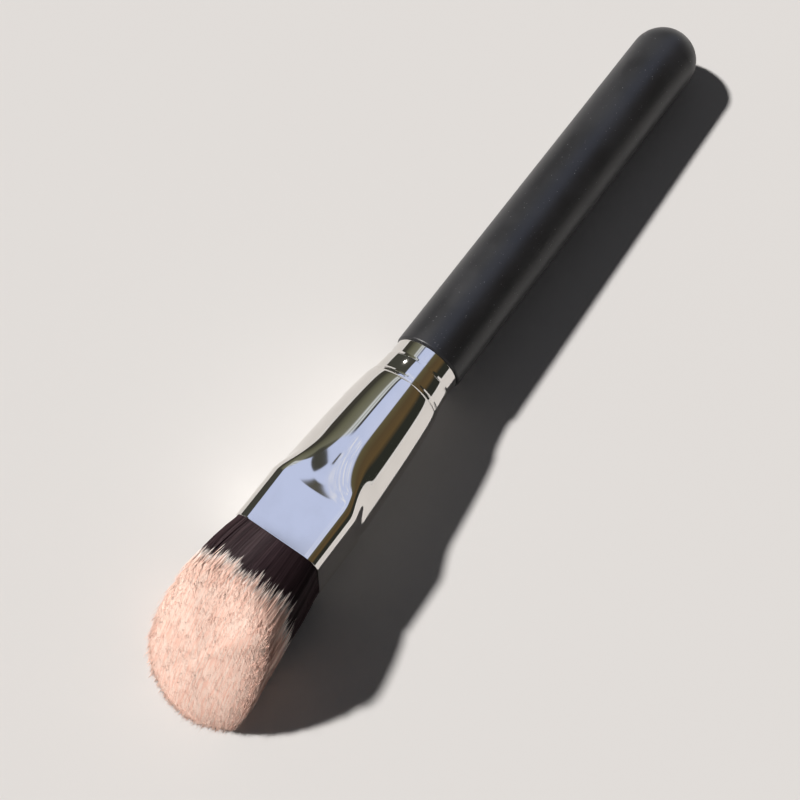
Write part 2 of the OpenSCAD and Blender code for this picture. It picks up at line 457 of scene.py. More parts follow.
@dataclass(frozen=True)
class PolishedNickel:
    """Mirror-polished pale nickel plate, with hardly visible polishing marks."""

    colour: Colour = (0.84, 0.815, 0.785)
    cloudy: Colour = (0.8, 0.775, 0.745)
    roughness: float = 0.035

    def build(self, effects: SharedEffects) -> bpy.types.Material:
        """Returns the material.

        Args:
            effects: The shared node groups.

        Returns:
            The finished material.
        """
        material, hand, shader = start_material("polished_nickel")
        where = hand.add("ShaderNodeTexCoord").outputs["Object"]
        marks = hand.add("ShaderNodeGroup", node_tree=effects.handling)
        hand.tree.links.new(where, marks.inputs["Vector"])
        marks.inputs["Cloud Scale"].default_value = 120.0
        marks.inputs["Grain Scale"].default_value = 1800.0
        colour = hand.mix_colour(marks.outputs["Marks"], (*self.colour, 1), (*self.cloudy, 1))
        rough = hand.math("MULTIPLY_ADD", marks.outputs["Marks"], 0.03, self.roughness)
        hand.tree.links.new(colour, shader.inputs["Base Color"])
        hand.tree.links.new(rough, shader.inputs["Roughness"])
        shader.inputs["Metallic"].default_value = 1.0
        return material


@dataclass(frozen=True)
class EpoxyGlue:
    """Amber glue that holds the fibre roots, slightly cloudy."""

    colour: Colour = (0.62, 0.45, 0.22)
    cloudy: Colour = (0.75, 0.62, 0.38)

    def build(self, effects: SharedEffects) -> bpy.types.Material:
        """Returns the material.

        Args:
            effects: The shared node groups.

        Returns:
            The finished material.
        """
        material, hand, shader = start_material("epoxy_glue")
        where = hand.add("ShaderNodeTexCoord").outputs["Object"]
        marks = hand.add("ShaderNodeGroup", node_tree=effects.handling)
        hand.tree.links.new(where, marks.inputs["Vector"])
        marks.inputs["Cloud Scale"].default_value = 400.0
        bump = hand.add(
            "ShaderNodeBump", {"Strength": 0.3, "Distance": 0.0002, "Height": marks.outputs["Height"]}
        )
        colour = hand.mix_colour(marks.outputs["Marks"], (*self.colour, 1), (*self.cloudy, 1))
        hand.tree.links.new(colour, shader.inputs["Base Color"])
        hand.tree.links.new(bump.outputs[0], shader.inputs["Normal"])
        shader.inputs["Roughness"].default_value = 0.3
        return material


@dataclass(frozen=True)
class DyedFibre:
    """Synthetic fibre, dark at the root and pale at the tip, on a map of dye and painted shade steps."""

    root: Colour = (0.02, 0.0095, 0.0115)
    # A painted sheen on the dark roots
    root_sheen: Colour = (0.052, 0.03, 0.034)
    change: Colour = (0.94, 0.85, 0.79)
    tip: Colour = (1.0, 0.755, 0.64)
    # A painted shade on the pale tips
    tip_shade: Colour = (0.97, 0.59, 0.47)
    dye_ends: float = DYE_ENDS
    dye_spread: float = 0.2
    dye_steps: int = 16
    roughness: float = 0.5
    streaks: Point = (300.0, 3400.0, 300.0)

    def build(self, effects: SharedEffects, name: str, streaked: bool = False) -> bpy.types.Material:
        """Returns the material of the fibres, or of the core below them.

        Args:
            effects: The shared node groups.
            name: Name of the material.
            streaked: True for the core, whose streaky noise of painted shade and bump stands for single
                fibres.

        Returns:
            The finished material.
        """
        material, hand, shader = start_material(name)
        if streaked:
            where = hand.add("ShaderNodeTexCoord").outputs["Object"]
            stretched = hand.add("ShaderNodeVectorMath", {0: where, 1: self.streaks}, operation="MULTIPLY")
            streaks = hand.add(
                "ShaderNodeTexNoise", {"Vector": stretched.outputs[0], "Scale": 1.0, "Detail": 2.5}
            )
            along = hand.add("ShaderNodeAttribute", attribute_name=DYE).outputs["Fac"]
            # The noise paints shade and sheen in streaks
            shade = hand.span(streaks.outputs[0], 0.33, 0.62)
            step = hand.span(streaks.outputs[0], 0.25, 0.75)
            bump = hand.add(
                "ShaderNodeBump", {"Strength": 0.4, "Distance": 0.0001, "Height": streaks.outputs[0]}
            )
            hand.tree.links.new(bump.outputs[0], shader.inputs["Normal"])
        else:
            place = hand.add("ShaderNodeUVMap", uv_map=UV_MAP).outputs[0]
            split = hand.add("ShaderNodeSeparateXYZ", {0: place})
            along = split.outputs[1]
            scaled = hand.math("MULTIPLY", split.outputs[0], float(self.dye_steps))
            step = hand.math("DIVIDE", hand.math("FLOOR", scaled), float(self.dye_steps - 1))
            shade = hand.math("FRACT", scaled)
        dye = hand.add("ShaderNodeGroup", node_tree=effects.strands)
        for label, value in (("Along", along), ("Dye Step", step), ("Shade Step", shade)):
            hand.tree.links.new(value, dye.inputs[label])
        for label, value in (
            ("Dye Ends", self.dye_ends),
            ("Dye Spread", self.dye_spread),
            ("Root", (*self.root, 1)),
            ("Root Sheen", (*self.root_sheen, 1)),
            ("Change", (*self.change, 1)),
            ("Tip", (*self.tip, 1)),
            ("Tip Shade", (*self.tip_shade, 1)),
        ):
            dye.inputs[label].default_value = value
        hand.tree.links.new(dye.outputs["Color"], shader.inputs["Base Color"])
        rough = hand.math("MULTIPLY_ADD", shade, 0.1, self.roughness)
        hand.tree.links.new(rough, shader.inputs["Roughness"])
        shader.inputs["Specular IOR Level"].default_value = 0.12
        return material


# The handle and the ferrule


def rounded(profile: np.ndarray, run: float, steps: int = 5) -> np.ndarray:
    """Rounds the corners of an open profile, each over a short run. The stretches between stay straight.

    Args:
        profile: Points of the profile, one row each.
        run: How far from a corner its round starts and ends.
        steps: Points on each round.

    Returns:
        The finer profile, with the same first and last points.
    """
    # A round takes at most its share of a side, so that the leads of two corners never meet
    least, lead_out = 3.2, 1.5
    corner = profile[1:-1]
    sides = []
    for other in (profile[:-2], profile[2:]):
        away = other - corner
        length = np.linalg.norm(away, axis=1, keepdims=True)
        sides.append(away / length * np.minimum(run, length / least))
    before, after = sides
    t = np.linspace(0.0, 1.0, steps)[None, :, None]
    arc = corner[:, None] + (1 - t) ** 2 * before[:, None] + t**2 * after[:, None]
    lead = (corner + lead_out * before)[:, None]
    tail = (corner + lead_out * after)[:, None]
    return np.concatenate([profile[:1], np.concatenate([lead, arc, tail], 1).reshape(-1, 2), profile[-1:]])


@dataclass
class Handle:
    """Turned wooden handle with a domed butt, a shoulder and the tenon that the ferrule is crimped on."""

    diameter: float = 14.6
    length: float = 96.0
    tenon_length: float = 16.0
    tenon_r: float = 6.5
    shoulder_round: float = 0.5
    lead: float = 0.8
    groove_at: float = 4.05
    groove_out: float = 0.9
    groove_depth: float = 0.125
    around: int = 160
    dome_steps: int = 40
    straight_rings: int = 4
    shoulder_steps: int = 9

    def profile(self) -> np.ndarray:
        """The turned profile, from the tip of the dome to the end of the tenon.

        Returns:
            Distance along the axis and radius, one row per point.
        """
        r, s = self.diameter / 2, self.shoulder_round
        dome = np.linspace(0.0, math.pi / 2, self.dome_steps)[1:]
        straight = np.linspace(r, self.length - s, self.straight_rings + 2)[1:-1]
        shoulder = np.linspace(0.0, math.pi / 2, self.shoulder_steps)
        groove = self.length + self.groove_at
        end = self.length + self.tenon_length
        return np.concatenate(
            [
                np.stack([r - r * np.cos(dome), r * np.sin(dome)], 1),
                np.stack([straight, np.full(self.straight_rings, r)], 1),
                np.stack([self.length - s + s * np.sin(shoulder), r - s + s * np.cos(shoulder)], 1),
                [
                    [self.length, self.tenon_r],
                    [groove - self.groove_out, self.tenon_r],
                    [groove, self.tenon_r - self.groove_depth],
                    [groove + self.groove_out, self.tenon_r],
                    [end - self.lead, self.tenon_r],
                    [end, self.tenon_r - self.lead],
                ],
            ]
        )

    def build(self, pose: RestingPose, material: bpy.types.Material) -> bpy.types.Object:
        """Turns the profile and replaces the plain handle with it.

        Args:
            pose: Where the brush lies.
            material: Finish of the handle.

        Returns:
            The handle.
        """
        profile = self.profile()
        turn = np.linspace(0.0, 2 * math.pi, self.around, endpoint=False)
        x = np.repeat(profile[:, :1], self.around, 1)
        r = profile[:, 1:]
        rings = np.stack([x, r * np.cos(turn), r * np.sin(turn)], -1).reshape(-1, 3)
        ends = np.array([[0.0, 0.0, 0.0], [profile[-1, 0], 0.0, 0.0]])
        points = np.concatenate([rings, ends])
        faces = [ring_faces(len(profile), self.around), *end_fans(len(rings), self.around)]
        piece = add_piece("turned_handle", pose.place(points), faces, material)
        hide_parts("handle")
        return piece


@dataclass
class Ferrule:
    """Drawn and plated tube with two crimps, flared and then pressed from round to a rounded square."""

    length: float = 48.4
    wall: float = 0.4
    rim_roll: float = 0.12
    rim_r: float = 6.95
    rim_round: float = 0.2
    lip_1_at: float = 3.8
    lip_2_at: float = 7.9
    lip_1_r: float = 7.175
    lip_2_r: float = 7.75
    lip_2_step: float = 0.1
    lip_run: float = 0.6
    notch_run: float = 0.25
    notch_out: float = 0.9
    lip_round: float = 0.09
    crimp_depth: float = 0.3
    collar_cone: float = 0.05
    swell: tuple[tuple[float, float], ...] = ((0.5, 0.15), (0.75, 0.45))
    flare_r: float = 10.75
    flare_power: float = 0.53
    press_from: float = 19.0
    press_to: float = 37.5
    side_press_from: float = 34.5
    side_press_to: float = 37.5
    press_power: float = 2.0
    half_w: float = 9.3
    half_t: float = 8.9
    corner: float = 3.0
    corner_bunching: float = 7.0
    inner_from: float = 3.0
    around: int = 384
    stations: int = 260
    roll_steps: int = 7
    inner_stations: int = 48

    def directions(self, count: int) -> np.ndarray:
        """Returns directions around the section in radians, closer together at the pressed corners."""
        turn = np.linspace(0.0, 2 * math.pi, count, endpoint=False)
        return turn + math.radians(self.corner_bunching) * np.sin(4 * turn)

    def square_reach(self, turn: np.ndarray, inset: float) -> np.ndarray:
        """Distance from the axis to the pressed section.

        Args:
            turn: Directions in radians.
            inset: How far inside the outer face.

        Returns:
            The distances in mm.
        """
        w, t, corner = self.half_w - inset, self.half_t - inset, self.corner - inset
        dy, dz = np.abs(np.cos(turn)), np.abs(np.sin(turn))
        cy, cz = w - corner, t - corner
        along = cy * dy + cz * dz
        arc = along + np.sqrt(np.maximum(0.0, corner**2 - cy**2 - cz**2 + along**2))
        side = w / np.maximum(dy, 1e-9)
        top = t / np.maximum(dz, 1e-9)
        return np.where(w * dz <= cz * dy, side, np.where(t * dy <= cy * dz, top, arc))

    def reach(self, at: np.ndarray, turn: np.ndarray, inset: float) -> np.ndarray:
        """Distance from the axis to the tube's skin behind the crimps.

        Args:
            at: Distances from the handle.
            turn: Directions in radians.
            inset: How far inside the outer face.

        Returns:
            The distances in mm.
        """
        share = np.clip((at - self.lip_2_at) / (self.length - self.lip_2_at), 0.0, 1.0)
        round_r = mix(self.lip_2_r - self.lip_2_step, self.flare_r, share**self.flare_power) - inset
        up = np.sin(turn) ** 2
        start = mix(self.side_press_from, self.press_from, up)
        end = mix(self.side_press_to, self.press_to, up * up)
        pressed = smooth((at - start) / (end - start)) ** self.press_power
        return mix(round_r, self.square_reach(turn, inset), pressed)

    def collar(self) -> np.ndarray:
        """The outer profile of the collar with its two crimps, which swells between them.

        Returns:
            Distance from the handle and radius, one row per point.
        """
        a, b, rim, lip = self.lip_1_at, self.lip_2_at, self.rim_r, self.lip_2_r
        return np.array(
            [
                [0.0, rim - self.rim_round],
                [self.rim_round, rim],
                [a - self.lip_run, rim + self.collar_cone],
                [a, self.lip_1_r],
                [a + self.notch_run, self.lip_1_r - self.crimp_depth],
                [a + self.notch_out, rim + self.collar_cone],
                *[[mix(a, b, way), mix(rim, lip, rise)] for way, rise in self.swell],
                [b, lip],
                [b + self.notch_run, lip - self.crimp_depth],
                [b + self.notch_out, float(self.reach(np.array(b + self.notch_out), np.array(0.0), 0.0))],
            ]
        )

    def build(self, pose: RestingPose, joint_at: float, material: bpy.types.Material) -> bpy.types.Object:
        """Builds the tube with its wall and replaces the plain ferrule with it.

        Args:
            pose: Where the brush lies.
            joint_at: Distance of the joint with the handle from the butt.
            material: Finish of the ferrule.

        Returns:
            The ferrule.
        """
        turn = self.directions(self.around)
        collar = rounded(self.collar(), self.lip_round)
        rim = self.rim_roll
        tube_at = np.linspace(self.lip_2_at + self.notch_out, self.length - rim, self.stations)[1:]
        rings = [(np.full(self.around, e), np.full(self.around, r)) for e, r in collar]
        rings += [(np.full(self.around, e), self.reach(np.array(e), turn, 0.0)) for e in tube_at]
        # The mouth's edge is rolled over the wall
        for step in np.linspace(0.0, math.pi, self.roll_steps)[1:-1]:
            e = self.length - rim + rim * math.sin(step)
            inset = self.wall * (1 - math.cos(step)) / 2
            rings.append((np.full(self.around, e), self.reach(np.array(e), turn, inset)))
        for e in np.linspace(self.length - rim, self.lip_2_at + self.inner_from, self.inner_stations):
            rings.append((np.full(self.around, e), self.reach(np.array(e), turn, self.wall)))
        rings.append((np.full(self.around, 0.0), np.full(self.around, self.rim_r - self.wall)))
        points = np.stack(
            [np.stack([joint_at + e, r * np.cos(turn), r * np.sin(turn)], -1) for e, r in rings]
        ).reshape(-1, 3)
        faces = ring_faces(len(rings), self.around, closed=True)
        piece = add_piece("pressed_ferrule", pose.place(points), [faces], material)
        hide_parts("ferrule")
        return piece


@dataclass
class GluePlug:
    """Plug of glue behind the roots of the fibres, cast against the inside of the ferrule."""

    ferrule: Ferrule
    back: float = 29.4
    front: float = 37.4
    gap: float = 0.08
    around: int = 192
    steps: int = 24

    def build(self, pose: RestingPose, joint_at: float, material: bpy.types.Material) -> bpy.types.Object:
        """Casts the plug and replaces the plain one with it.

        Args:
            pose: Where the brush lies.
            joint_at: Distance of the joint with the handle from the butt.
            material: Finish of the glue.

        Returns:
            The plug.
        """
        turn = self.ferrule.directions(self.around)
        rings = []
        for e in np.linspace(self.back, self.front, self.steps):
            r = self.ferrule.reach(np.array(e), turn, self.ferrule.wall + self.gap)
            x = np.full(self.around, joint_at + e)
            rings.append(np.stack([x, r * np.cos(turn), r * np.sin(turn)], -1))
        ends = np.array([[joint_at + self.back, 0.0, 0.0], [joint_at + self.front, 0.0, 0.0]])
        points = np.concatenate([np.concatenate(rings), ends])
        faces = [ring_faces(self.steps, self.around), *end_fans(self.steps * self.around, self.around)]
        piece = add_piece("cast_glue", pose.place(points), faces, material)
        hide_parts("glue_plug")
        return piece


# The tuft


class Cut(Enum):
    """Which fibres of the tuft a bundle holds."""

    SIDE = "side"
    FACE = "face"
    STRAY = "stray"


def scattered(cell: np.ndarray, salt: float) -> np.ndarray:
    """Returns a repeatable random share from 0 to 1 for each cell number."""
    return np.modf(np.abs(np.sin(cell * 12.9898 + salt) * 43758.5453))[0]


@dataclass
class Tuft:
    """Slant-cut tuft: a packed core, long fibres around it and the tips that stand out of the cut face.

    Fibres in a wisp lean and are dyed much alike, and fibres in a streak have much the same tone. A fibre of
    the cut face has points at face_stations mm back from its tip, any other at side_stations of its length.
    """

    ferrule: Ferrule
    pose: RestingPose
    mouth_at: float
    length: float = 24.0
    slant: float = 11.0
    skew: float = 1.2
    crown: float = 1.8
    edge_drop: float = 1.6
    spread_w: float = 0.53
    spread_t: float = 0.73
    spread_power: float = 0.75
    fluff_share: float = 0.65
    fluff_run: float = 22.0
    tip_droop: float = 0.9
    root_depth: float = 11.0
    fibre_gap: float = 0.15
    lowest: float = 0.08
    packed_height: float = 1.5
    fibre_r: float = 0.06
    trim: float = 1.7
    stubble: float = 0.1
    own_shading: float = 0.22
    unevenness: float = 0.18
    wisp_size: float = 0.65
    streak_size: float = 0.2
    streak_run: float = 2.6
    dyed: float = 8.4
    dyed_more: float = 0.25
    # The core
    core_share: float = 0.97
    core_around: int = 240
    core_sides: int = 32
    core_tops: int = 24
    map_margin: float = 0.02
    # Where the roots lie in the mouth
    face_reach: float = 0.99
    side_band: float = 0.16
    side_crowding: float = 1.3
    # How the fibres lean
    wisp_lean: float = 0.02
    own_lean: float = 0.011
    stray_lean: float = 3.0
    lean_power: float = 1.5
    inmost: float = 0.15
    outermost: float = 1.03
    # How evenly they end
    even_middle: float = 0.5
    ragged_edge: float = 2.6
    short_by: float = 0.3
    short_ones: float = 0.12
    stray_out: float = 0.9
    shortest: float = 5.0
    # How thick they are against fibre_r
    thickness_low: float = 0.8
    thickness_high: float = 1.2
    # How much their dye and painted shade differ
    wisp_dye: float = 0.35
    wisp_middle_dye: float = 0.9
    own_dye: float = 0.14
    streak_tone: float = 0.72
    own_tone: float = 0.28
    # The directions that they are shaded by
    slant_shading: float = 0.7
    edge_shading: float = 0.35
    side_shading: float = 0.15
    # How many there are
    side_fibres: int = 9000
    face_fibres: int = 28000
    stray_fibres: int = 1400
    shades: int = 8
    dye_steps: int = 16
    seed: int = 11
    # Where their points lie, and how thick they are there
    face_stations: tuple[float, ...] = (6.5, 3.0, 0.6, 0.0)
    face_taper: tuple[float, ...] = (1.0, 1.0, 0.9, 0.0)
    side_stations: tuple[float, ...] = (-0.09, 0.06, 0.22, 0.48, 0.78, 1.0)
    side_taper: tuple[float, ...] = (1.0, 1.0, 1.0, 1.0, 0.85, 0.0)

    def fibre_length(self, share: np.ndarray, turn: np.ndarray) -> np.ndarray:
        """Length of a fibre beyond the mouth, from the slanted and slightly crowned cut.

        Args:
            share: How far out the fibre's root lies, 0 in the middle and 1 at the wall.
            turn: Direction of the root in radians.

        Returns:
            The lengths in mm.
        """
        return (
            self.length
            - self.slant * share * np.sin(turn)
            + self.skew * share * np.cos(turn)
            + self.crown * (1 - share**2)
            - self.edge_drop * share**6
        )

    def dye_share(self, x: np.ndarray, length: np.ndarray) -> np.ndarray:
        """Where points lie on the map of the dye, which is stretched so that the dye ends at DYE_ENDS.

        Args:
            x: Distances beyond the mouth in mm.
            length: Lengths of the fibres in mm. The dye runs further up a long one.

        Returns:
            Places from 0 to 1.
        """
        dyed = self.dyed + self.dyed_more * (length - self.length / 2)
        return np.clip(DYE_ENDS * x / dyed, 0.0, 1.0)

    def lay(self, share: np.ndarray, turn: np.ndarray, x: np.ndarray) -> np.ndarray:
        """Points on the fibres at a distance from the mouth, pressed on the table where they reach it.

        Args:
            share: How far out the root lies.
            turn: Direction of the root in radians.
            x: Distance beyond the mouth in mm, negative inside the ferrule.

        Returns:
            The points above the table in mm.
        """
        tube, full = self.ferrule, self.length + self.slant
        outside = np.maximum(x, 0.0)
        square = tube.reach(tube.length + np.minimum(x, 0.0), turn, tube.wall + self.fibre_gap)
        fluffed = self.fluff_share * smooth(outside / self.fluff_run)
        root = mix(square, (tube.half_w + tube.half_t) / 2, fluffed)
        opened = (outside / full) ** self.spread_power
        reach = share * root
        y = reach * np.cos(turn) * (1 + self.spread_w * opened)
        z = reach * np.sin(turn) * (1 + self.spread_t * opened) - self.tip_droop * outside / full
        laid = self.pose.on_table(np.stack([self.mouth_at + x, y, z], -1))
        laid[..., 2] = np.maximum(laid[..., 2], self.lowest + self.packed_height * (1 - share))
        return laid

    def build_core(self, material: bpy.types.Material) -> bpy.types.Object:
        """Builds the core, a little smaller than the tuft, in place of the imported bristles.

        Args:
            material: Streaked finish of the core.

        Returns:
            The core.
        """
        around, sides, tops, outer = self.core_around, self.core_sides, self.core_tops, self.core_share
        under = self.trim + self.stubble
        turn = self.ferrule.directions(around)
        rings, along = [], []
        shares = np.concatenate([np.full(sides + 1, outer), outer * (1 - np.arange(1, tops) / tops)])
        for k, share in enumerate(shares):
            ring = np.full(around, share)
            cut = self.fibre_length(ring, turn)
            if k == 0:
                x = np.full(around, -self.root_depth)
            else:
                x = (cut - under) * min(1.0, (k - 1) / (sides - 1))
            rings.append(self.lay(ring, turn, x))
            along.append(self.dye_share(x, cut))
        count = len(rings) * around
        deep = self.fibre_length(np.array(0.0), np.array(0.0))
        middle = self.lay(np.array(0.0), np.array(0.0), deep - under)
        root = self.pose.on_table(np.array([self.mouth_at - self.root_depth, 0.0, 0.0]))
        points = np.concatenate([np.stack(rings).reshape(-1, 3), [root, middle]])
        dye = np.concatenate([np.concatenate(along), [0.0, float(self.dye_share(deep - under, deep))]])
        u = np.concatenate([np.tile(np.arange(around) / around, len(rings)), [0.5, 0.5]])
        up = np.linspace(self.map_margin, 1 - self.map_margin, len(rings))
        v = np.concatenate([np.repeat(up, around), [0.0, 1.0]])
        faces = [ring_faces(len(rings), around), *end_fans(count, around)]
        uv = []
        for group in faces:
            place = np.stack([u[group], v[group]], -1)
            # Faces across the seam keep to the map's right edge
            seam = (place[..., 0].max(1) > 0.9) & (place[..., 0].min(1) < 0.1)
            low = (place[..., 0] < 0.1) & seam[:, None]
            place[..., 0] = np.where(low, 1.0, place[..., 0])
            uv.append(place)
        piece = add_piece("tuft_core", self.pose.to_frame(points), faces, material, uv)
        piece.data.attributes.new(DYE, "FLOAT", "POINT").data.foreach_set("value", dye.astype(np.float32))
        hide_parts("bristles")
        return piece

    def roots(self, cut: Cut, count: int, rng: np.random.Generator) -> tuple[np.ndarray, np.ndarray]:
        """Where the fibres of a bundle start.

        Args:
            cut: Which bundle.
            count: Number of fibres.
            rng: Seeded random numbers.

        Returns:
            Their share of the mouth's reach and their directions.
        """
        turn = rng.uniform(0.0, 2 * math.pi, count)
        if cut is Cut.FACE:
            return np.sqrt(rng.uniform(0.0, 1.0, count)) * self.face_reach, turn
        return 1 - self.side_band * rng.uniform(0.0, 1.0, count) ** self.side_crowding, turn

    def tips(
        self, cut: Cut, full: np.ndarray, share: np.ndarray, wisp: np.ndarray, rng: np.random.Generator
    ) -> np.ndarray:
        """How far beyond the mouth the fibres end, a little uneven and more ragged at the bundle's edge.

        Args:
            cut: Which bundle.
            full: Lengths that the cut gives the fibres.
            share: How far out the roots lie.
            wisp: Numbers of the fibres' wisps.
            rng: Seeded random numbers.

        Returns:
            The distances in mm.
        """
        ragged = self.even_middle + self.ragged_edge * share**6
        longer = rng.normal(0.0, self.unevenness, len(full)) * ragged
        longer += self.unevenness * (scattered(wisp, 3.0) - 0.5)
        shorter = np.abs(rng.normal(0.0, self.short_by, len(full)))
        longer -= shorter * (rng.uniform(size=len(full)) < self.short_ones)
        out = self.stray_out if cut is Cut.STRAY else 0.0
        return np.maximum(full - self.trim + longer + out, self.shortest)

    def colour_steps(
        self, wisp: np.ndarray, middle: np.ndarray, streak: np.ndarray, rng: np.random.Generator
    ) -> tuple[np.ndarray, np.ndarray]:
        """The two steps that place a fibre on the map of its colours.

        Args:
            wisp: Numbers of the fibres' wisps.
            middle: How near the middle of its wisp each fibre lies, from 0 to 1.
            streak: Numbers of the fibres' streaks.
            rng: Seeded random numbers.

        Returns:
            The dye steps and the steps of painted sheen and shade.
        """
        own = rng.normal(0.0, self.own_dye, len(wisp))
        shared = (scattered(wisp, 4.0) - 0.5) * (self.wisp_dye + self.wisp_middle_dye * middle)
        dye = np.clip(np.round((0.5 + shared + own) * (self.dye_steps - 1)), 0, self.dye_steps - 1)
        # The tone picks a step of painted sheen on the roots and painted shade on the tips
        tone = self.streak_tone * scattered(streak, 5.0) + self.own_tone * rng.uniform(size=len(wisp))
        return dye, np.minimum(np.floor(tone * self.shades), self.shades - 1)

    def build_fibres(
        self, cut: Cut, part: int, parts: int, material: bpy.types.Material
    ) -> bpy.types.Object:
        """Builds one bundle of separate closed, tapered fibres.

        Args:
            cut: Which bundle.
            part: Number of this piece of the bundle.
            parts: How many pieces the bundle is split into.
            material: Finish of the fibres.

        Returns:
            The piece.
        """
        rng = np.random.default_rng([self.seed, part, list(Cut).index(cut)])
        total = {Cut.SIDE: self.side_fibres, Cut.FACE: self.face_fibres, Cut.STRAY: self.stray_fibres}[cut]
        count = total // parts
        share, turn = self.roots(cut, count, rng)
        full = self.fibre_length(share, turn)
        # Wisps are cells across the bundle, numbered by their two steps
        spot = np.stack([np.cos(turn), np.sin(turn)], 1) * share[:, None] * self.ferrule.half_w
        step = spot / self.wisp_size + 100
        wisp = np.floor(step) @ np.array([1.0, 331.0])
        # Streaks are narrow cells that run up the cut face, each row shifted against its neighbour
        lane = np.floor(spot[:, 0] / self.streak_size + 100)
        run = self.streak_run if cut is Cut.FACE else self.streak_size
        streak = lane + 577.0 * np.floor(spot[:, 1] / run + 100 + scattered(lane, 6.0))
        middle = (1 - np.abs(2 * (step - np.floor(step)) - 1)).prod(1)
        lean = (np.stack([scattered(wisp, 1.0), scattered(wisp, 2.0)], 1) - 0.5) * self.wisp_lean
        lean += rng.normal(0.0, self.own_lean, (count, 2)) * (self.stray_lean if cut is Cut.STRAY else 1.0)
        tip = self.tips(cut, full, share, wisp, rng)
        if cut is Cut.FACE:
            x = tip[:, None] - np.array(self.face_stations)[None, :]
            taper = np.array(self.face_taper)
        else:
            x = np.array(self.side_stations)[None, :] * tip[:, None]
            taper = np.array(self.side_taper)
        grown = np.clip(x / full[:, None], 0.0, 1.1)
        leaned = grown**self.lean_power
        shares = np.minimum(share[:, None] + lean[:, :1] * leaned, self.outermost)
        turns = turn[:, None] + lean[:, 1:] * leaned / np.maximum(share[:, None], self.inmost)
        path = self.lay(shares, turns, x)
        thickness = rng.uniform(self.thickness_low, self.thickness_high, count)
        radius = self.fibre_r * thickness[:, None] * taper[None, :]
        along = self.dye_share(x, full[:, None])
        dye, shade = self.colour_steps(wisp, middle, streak, rng)
        lie = self.bundle_normals(cut, share, turn, grown)
        return self.sweep(f"{cut.value}_fibres_{part}", path, radius, lie, along, dye, shade, material)

    def bundle_normals(self, cut: Cut, share: np.ndarray, turn: np.ndarray, grown: np.ndarray) -> np.ndarray:
        """Directions that the bundle's surface faces, by which its fibres are shaded as one soft mass.

        Args:
            cut: Which bundle.
            share: How far out the roots lie.
            turn: Directions of the roots in radians.
            grown: Share of the length at each station.

        Returns:
            Unit vectors by fibre and station.
        """
        out = np.stack([0 * turn, np.cos(turn), np.sin(turn)], -1)
        half = (self.ferrule.half_w + self.ferrule.half_t) / 2
        tips = np.array([1.0, -self.skew / half, self.slant_shading * self.slant / half])
        tips = tips + self.edge_shading * share[:, None] ** 4 * out
        if cut is Cut.FACE:
            facing = np.repeat(tips[:, None], grown.shape[1], 1)
        else:
            # Along its last quarter a long fibre turns to face as the cut does
            side = out[:, None] + np.array([self.side_shading, 0.0, 0.0])
            facing = mix(side, tips[:, None], smooth(grown * 4 - 3)[..., None])
        return facing / np.linalg.norm(facing, axis=2, keepdims=True)

    def sweep(
        self,
        name: str,
        path: np.ndarray,
        radius: np.ndarray,
        lie: np.ndarray,
        along: np.ndarray,
        dye: np.ndarray,
        shade: np.ndarray,
        material: bpy.types.Material,
    ) -> bpy.types.Object:
        """Sweeps a three-sided section along each path and closes it at both ends.

        Args:
            name: Name of the piece.
            path: Points of each fibre, by fibre and station, in mm.
            radius: Radius of each fibre at its stations, 0 at the last one.
            lie: Direction that the bundle faces at each station.
            along: Place on the dye's map of each fibre's stations.
            dye: Dye step of each fibre.
            shade: Shade step of each fibre.
            material: Finish of the fibres.

        Returns:
            The piece.
        """
        count, stations = path.shape[:2]
        ahead = np.gradient(path, axis=1)
        ahead /= np.linalg.norm(ahead, axis=2, keepdims=True)
        side = np.cross(ahead, np.array([0.0, 0.3, 1.0]))
        side /= np.linalg.norm(side, axis=2, keepdims=True)
        over = np.cross(side, ahead)
        turn = 2 * math.pi / 3 * np.arange(3) + (shade * 0.8)[:, None]
        cos, sin = np.cos(turn)[:, None, :, None], np.sin(turn)[:, None, :, None]
        out = cos * side[:, :-1, None] + sin * over[:, :-1, None]
        ring = path[:, :-1, None] + radius[:, :-1, None, None] * out
        per = 3 * (stations - 1) + 1
        points = np.concatenate([ring.reshape(count, -1, 3), path[:, -1:]], 1)
        shaded = (lie[:, :-1, None] + self.own_shading * out).reshape(count, -1, 3)
        normals = np.concatenate([shaded, lie[:, -1:]], 1).reshape(-1, 3)
        normals /= np.linalg.norm(normals, axis=1, keepdims=True)
        points[..., 2] = np.maximum(points[..., 2], 0.0)
        i = np.arange(3)
        j = (i + 1) % 3
        last = 3 * (stations - 2)
        cap = np.array([[0, 1, 2]])
        tips = np.stack([last + j, last + i, np.full(3, per - 1)], 1)
        cell = 1.0 / (self.dye_steps * self.shades)
        left = (dye * self.shades + shade) * cell
        inside = np.append(np.tile([0.2, 0.5, 0.8], stations - 1), 0.5)
        v = np.concatenate([np.repeat(along[:, :-1], 3, 1), along[:, -1:]], 1)
        first = (np.arange(count) * per)[:, None, None]
        faces, uv = [], []
        for group in (ring_faces(stations - 1, 3), np.concatenate([tips, cap])):
            across = left[:, None, None] + inside[group][None] * cell
            faces.append((first + group[None]).reshape(-1, group.shape[1]))
            uv.append(np.stack([across, v[:, group]], -1).reshape(-1, 2))
        laid = self.pose.to_frame(points.reshape(-1, 3))
        return add_piece(name, laid, faces, material, uv, normals)


# The stage


